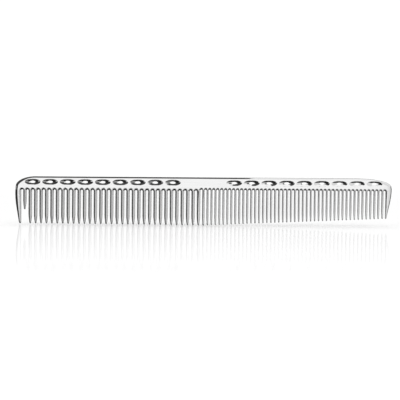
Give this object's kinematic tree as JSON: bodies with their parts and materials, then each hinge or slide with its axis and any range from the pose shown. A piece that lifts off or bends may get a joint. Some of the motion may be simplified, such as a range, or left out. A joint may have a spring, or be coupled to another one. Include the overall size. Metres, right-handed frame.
{
  "type": "cutting comb",
  "caption": "Straight metal barber's cutting comb: coarse teeth on one half, fine teeth on the other, solid end guards, and a spine with dished oval sectioning holes.",
  "frame": {"origin": "under the middle of the comb's length and thickness, at the height of the lowest tooth tips", "axes": "+X along the comb from the coarse teeth to the fine teeth, +Y through its thickness from the front face to the back face, +Z from the tooth tips up to the spine"},
  "size_m": [0.215, 0.0028, 0.0274],
  "materials": {
    "polished_aluminium": "mirror polished"
  },
  "bodies": {
    "root": {"spine": "polished_aluminium", "coarse_end_guard": "polished_aluminium", "short_lead_tooth": "polished_aluminium", "coarse_teeth_1": "polished_aluminium", "coarse_teeth_2": "polished_aluminium", "coarse_teeth_3": "polished_aluminium", "coarse_teeth_4": "polished_aluminium", "middle_tooth": "polished_aluminium", "fine_teeth_1": "polished_aluminium", "fine_teeth_2": "polished_aluminium", "fine_teeth_3": "polished_aluminium", "fine_teeth_4": "polished_aluminium", "fine_teeth_5": "polished_aluminium", "fine_end_guard": "polished_aluminium"}
  },
  "joints": []
}
